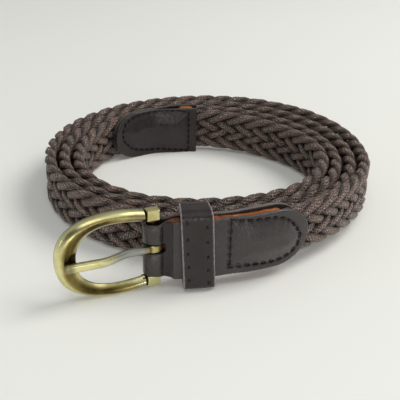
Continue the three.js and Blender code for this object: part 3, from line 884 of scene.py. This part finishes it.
def bow_outline(share, reach, height):
    """One side of the bow's outline, from the block to the far side."""
    start = BLOCK_LENGTH / 2 + GROOVE
    centre = BUCKLE_LENGTH * BOW_CENTRE
    along = np.minimum(share / ARM_STEPS, 1)
    turn = np.clip((share - ARM_STEPS) / (1 - ARM_STEPS), 0, 1) * np.pi / 2
    a = np.where(share < ARM_STEPS, start + (centre - start) * along,
                 centre + (reach - centre) * np.sin(turn) ** (2 / BOW_CORNER))
    z = np.where(share < ARM_STEPS, height - ARM_INSET * (1 - along) ** ARM_CURVE,
                 height * np.cos(turn) ** (2 / BOW_CORNER))
    return a, z


# The bow's section: place across it from its inner side, and depth; the front is a dome
BOW_BACK = (
    (1.0, -0.1), (1.0, -1.2), (0.97, -1.45), (0.9, -1.42),
    (0.5, -0.95), (0.1, -0.5), (0.03, -0.36), (0.0, -0.2),
)
DOME_EDGE = 0.3  # depth of the dome where it starts and ends


def bow_dome(across):
    return DOME_EDGE + (BOW_CROWN - DOME_EDGE) * np.sin(np.pi * across ** 1.2) ** 0.8


def make_bow(material):
    side_shares = np.linspace(0, 1, 64)
    shares = np.concatenate([side_shares, side_shares[-2::-1]])
    signs = np.concatenate([np.ones(64), -np.ones(63)])
    inner_a, inner_z = bow_outline(shares, BUCKLE_LENGTH - BOW_WIDTH, BUCKLE_HEIGHT / 2 - ARM_WIDTH)
    outer_a, outer_z = bow_outline(shares, BUCKLE_LENGTH, BUCKLE_HEIGHT / 2)
    front = np.linspace(0, 1, 21)
    section = [(across, depth) for across, depth in zip(front, bow_dome(front))] + list(BOW_BACK)
    across, depth = np.array(section).T
    a = inner_a[:, None] + (outer_a - inner_a)[:, None] * across
    z = signs[:, None] * (inner_z[:, None] + (outer_z - inner_z)[:, None] * across)
    rings = np.stack([a, np.broadcast_to(depth, a.shape), z], -1)
    verts, faces = tube(list(from_buckle(rings)))
    bow = mesh_object("buckle_bow", verts, faces)
    face_outward(bow)
    hole_turns = np.linspace(0, 2 * np.pi, 33)[:-1]
    ring = np.stack([NOTCH_REACH + NOTCH_RADIUS * np.cos(hole_turns), 0 * hole_turns,
                     NOTCH_RISE + NOTCH_RADIUS * np.sin(hole_turns)], -1)
    deep, high = ring + (0, 0.1, 0), ring + (0, 2 * BOW_CROWN, 0)
    cutter = mesh_object("notch_cutter", *tube([from_buckle(deep), from_buckle(high)]))
    face_outward(cutter)
    cut = bow.modifiers.new("notch", "BOOLEAN")
    cut.operation = "DIFFERENCE"
    cut.object = cutter
    apply_modifiers(bow)
    bpy.data.objects.remove(cutter)
    sharpen(bow)
    bar, ahead, facing = buckle_turn()
    points = read_points(bow)
    flat = points[:, :2] - bar
    reach, depth, up = flat @ ahead, flat @ facing, points[:, 2] - TAB_MIDDLE
    centre = BUCKLE_LENGTH * BOW_CENTRE

    def level(far, height):
        beyond = np.maximum(reach - centre, 0) / (far - centre)
        return (beyond ** BOW_CORNER + (np.abs(up) / height) ** BOW_CORNER) ** (1 / BOW_CORNER) * height

    inner_height = BUCKLE_HEIGHT / 2 - ARM_WIDTH
    inner = level(BUCKLE_LENGTH - BOW_WIDTH, inner_height) - inner_height
    outer = BUCKLE_HEIGHT / 2 - level(BUCKLE_LENGTH, BUCKLE_HEIGHT / 2)
    across = np.clip(inner / (inner + outer), 0, 1)
    rims = smooth(np.abs(across - 0.45), 0.1, 0.42)
    arms = 0.5 * (1 - smooth(reach, 8, 15))
    paint(bow, "worn", np.maximum(rims, arms))
    paint(bow, "silver", 0.3 * (1 - smooth(reach, 3, 9)))
    # Painted shade in the notch, and darker on the back of the bow
    in_notch = 1 - smooth(np.hypot(reach - NOTCH_REACH, up - NOTCH_RISE), NOTCH_RADIUS, NOTCH_RADIUS + 0.25)
    paint(bow, "grime_and_shade", np.maximum(in_notch, 0.75 * smooth(-depth, 0.0, 0.5)))
    fit(bow, "frame", "brass", material, "buckle_frame")


def sharpen(piece, angle=40):
    """Keeps edges sharper than this angle sharp under smooth shading."""
    piece.data.polygons.foreach_set("use_smooth", [True] * len(piece.data.polygons))
    piece.data.set_sharp_from_angle(angle=math.radians(angle))


def brass_box(name, middle_place, sizes, bevel_width, material, worn, grime_and_shade=0.0):
    corners = np.array([(i, j, k) for i in (-1, 1) for j in (-1, 1) for k in (-1, 1)]) * np.array(sizes) / 2
    faces = [(0, 1, 3, 2), (4, 6, 7, 5), (0, 4, 5, 1), (2, 3, 7, 6), (0, 2, 6, 4), (1, 5, 7, 3)]
    piece = mesh_object(name, from_buckle(corners + middle_place), faces)
    bevel = piece.modifiers.new("bevel", "BEVEL")
    bevel.width = bevel_width * MM
    bevel.segments = 3
    bevel.harden_normals = True
    apply_modifiers(piece)
    paint(piece, "worn", np.full(len(piece.data.vertices), worn))
    paint(piece, "grime_and_shade", np.full(len(piece.data.vertices), grime_and_shade))
    fit(piece, "frame", "brass", material)


def circle(radius, count=32):
    turns = np.linspace(0, 2 * np.pi, count + 1)[:-1]
    return radius * np.cos(turns), radius * np.sin(turns)


def make_frame_ends(material):
    outer = BUCKLE_HEIGHT / 2 - ARM_INSET
    for name, side in (("upper", 1), ("lower", -1)):
        up = side * (outer - ARM_WIDTH / 2)
        block = (BLOCK_LENGTH, BLOCK_DEPTH, ARM_WIDTH)
        brass_box("block_" + name, (0, 0, up), block, 0.4, material, worn=0.85)
        neck = (NECK_LENGTH, BLOCK_DEPTH - GROOVE, ARM_WIDTH - GROOVE)
        between = ((BLOCK_LENGTH + GROOVE) / 2, 0, up)
        brass_box("neck_" + name, between, neck, 0.2, material, worn=0.0, grime_and_shade=1.0)
    x, y = circle(BAR_RADIUS)
    ends = [np.stack([x, y, np.full_like(x, end * (outer - ARM_WIDTH / 2))], -1) for end in (-1, 1)]
    bar = mesh_object("buckle_bar", *tube(list(from_buckle(ends))))
    sharpen(bar)
    face_outward(bar)
    fit(bar, "frame", "brass", material)


def make_prong(material):
    bore = BAR_RADIUS + CLEAR
    eye_out = bore + EYE_WALL
    share = np.linspace(0.03, 1, 70)
    along = bore / 2 + (PRONG_LENGTH - bore / 2) * share
    bent = smooth(share, *PRONG_BEND)
    tip_depth = BOW_CROWN + CLEAR + PRONG_SWELL * PRONG_THICK / 2
    depth = eye_out - PRONG_THICK / 2 + (tip_depth - eye_out + PRONG_THICK / 2) * bent
    rise = PRONG_RISE - PRONG_DROP * bent
    rounding = np.sqrt(np.maximum(0.3, 1 - np.maximum(0, along - PRONG_LENGTH + 0.7) ** 2))
    swell = (1 + (PRONG_SWELL - 1) * share) * rounding
    y, z = circle(1.0, 24)
    y = np.sign(y) * np.abs(y) ** 0.8
    z = np.sign(z) * np.abs(z) ** 0.8
    rings = np.stack([np.broadcast_to(along[:, None], (len(share), 24)),
                      depth[:, None] + swell[:, None] * PRONG_THICK / 2 * y,
                      rise[:, None] + swell[:, None] * PRONG_WIDTH / 2 * z], -1)
    pin = mesh_object("buckle_pin", *tube(list(from_buckle(rings))))
    face_outward(pin)
    sharpen(pin, 60)
    points = read_points(pin)
    bar, ahead, facing = buckle_turn()
    reach = (points[:, :2] - bar) @ ahead
    raised = ((points[:, :2] - bar) @ facing) - np.interp(reach, along, depth)
    silver = smooth(reach, 1.5, 4) * (1 - smooth(reach, 9, 17))
    paint(pin, "worn", 0.3 + 0.7 * smooth(reach, 6, 16) * smooth(raised, -0.2, 0.8))
    paint(pin, "silver", silver)
    # Darker at the prong's tip and on its back where it is silvery
    at_tip = 0.7 * smooth(reach, 23.0, 25.0)
    beneath = 0.35 * silver * (1 - smooth(raised, -0.4, 0.6))
    paint(pin, "grime_and_shade", np.maximum(at_tip, beneath))
    fit(pin, "prong", "brass", material, "buckle_prong")

    x, y = circle(1.0, 40)
    corners = ((bore, -1), (eye_out - 0.2, -1), (eye_out, -0.82),
               (eye_out, 0.82), (eye_out - 0.2, 1), (bore, 1))
    rings = [[(radius * cx, radius * cy, PRONG_RISE + high * PRONG_WIDTH / 2) for radius, high in corners]
             for cx, cy in zip(x, y)]
    eye = mesh_object("pin_eye", *tube(list(from_buckle(rings)), closed=True))
    face_outward(eye)
    sharpen(eye)
    reach = (read_points(eye)[:, :2] - bar) @ ahead
    paint(eye, "worn", np.full(len(eye.data.vertices), 0.6))
    # Dark over the eye's half towards the bow
    paint(eye, "grime_and_shade", 0.95 * smooth(reach, 0.6, 1.6))
    fit(eye, "prong", "brass", material)


def make_buckle():
    material = brass_material()
    make_bow(material)
    make_frame_ends(material)
    make_prong(material)


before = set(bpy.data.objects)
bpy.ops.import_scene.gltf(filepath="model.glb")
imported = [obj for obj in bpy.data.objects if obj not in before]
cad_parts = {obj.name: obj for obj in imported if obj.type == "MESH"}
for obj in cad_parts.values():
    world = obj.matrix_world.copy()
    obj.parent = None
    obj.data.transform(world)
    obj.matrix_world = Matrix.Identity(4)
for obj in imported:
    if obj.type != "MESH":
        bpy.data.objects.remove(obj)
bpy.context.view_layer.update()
make_camera()
make_floor()
make_lights()
make_braid()
make_tab(leather_material("tab leather", shade(54, 48, 47), shade(72, 66, 65), shade(126, 116, 118), 0.19))
stitches("tab_stitches", TAB_STITCH, 0.0, TAB_MIDDLE, out=3.05, step=2.62, length=1.75, radius=0.24,
         material=thread_material("dark thread", shade(22, 20, 19)))
make_keeper()
make_tip()
make_cores()
make_buckle()
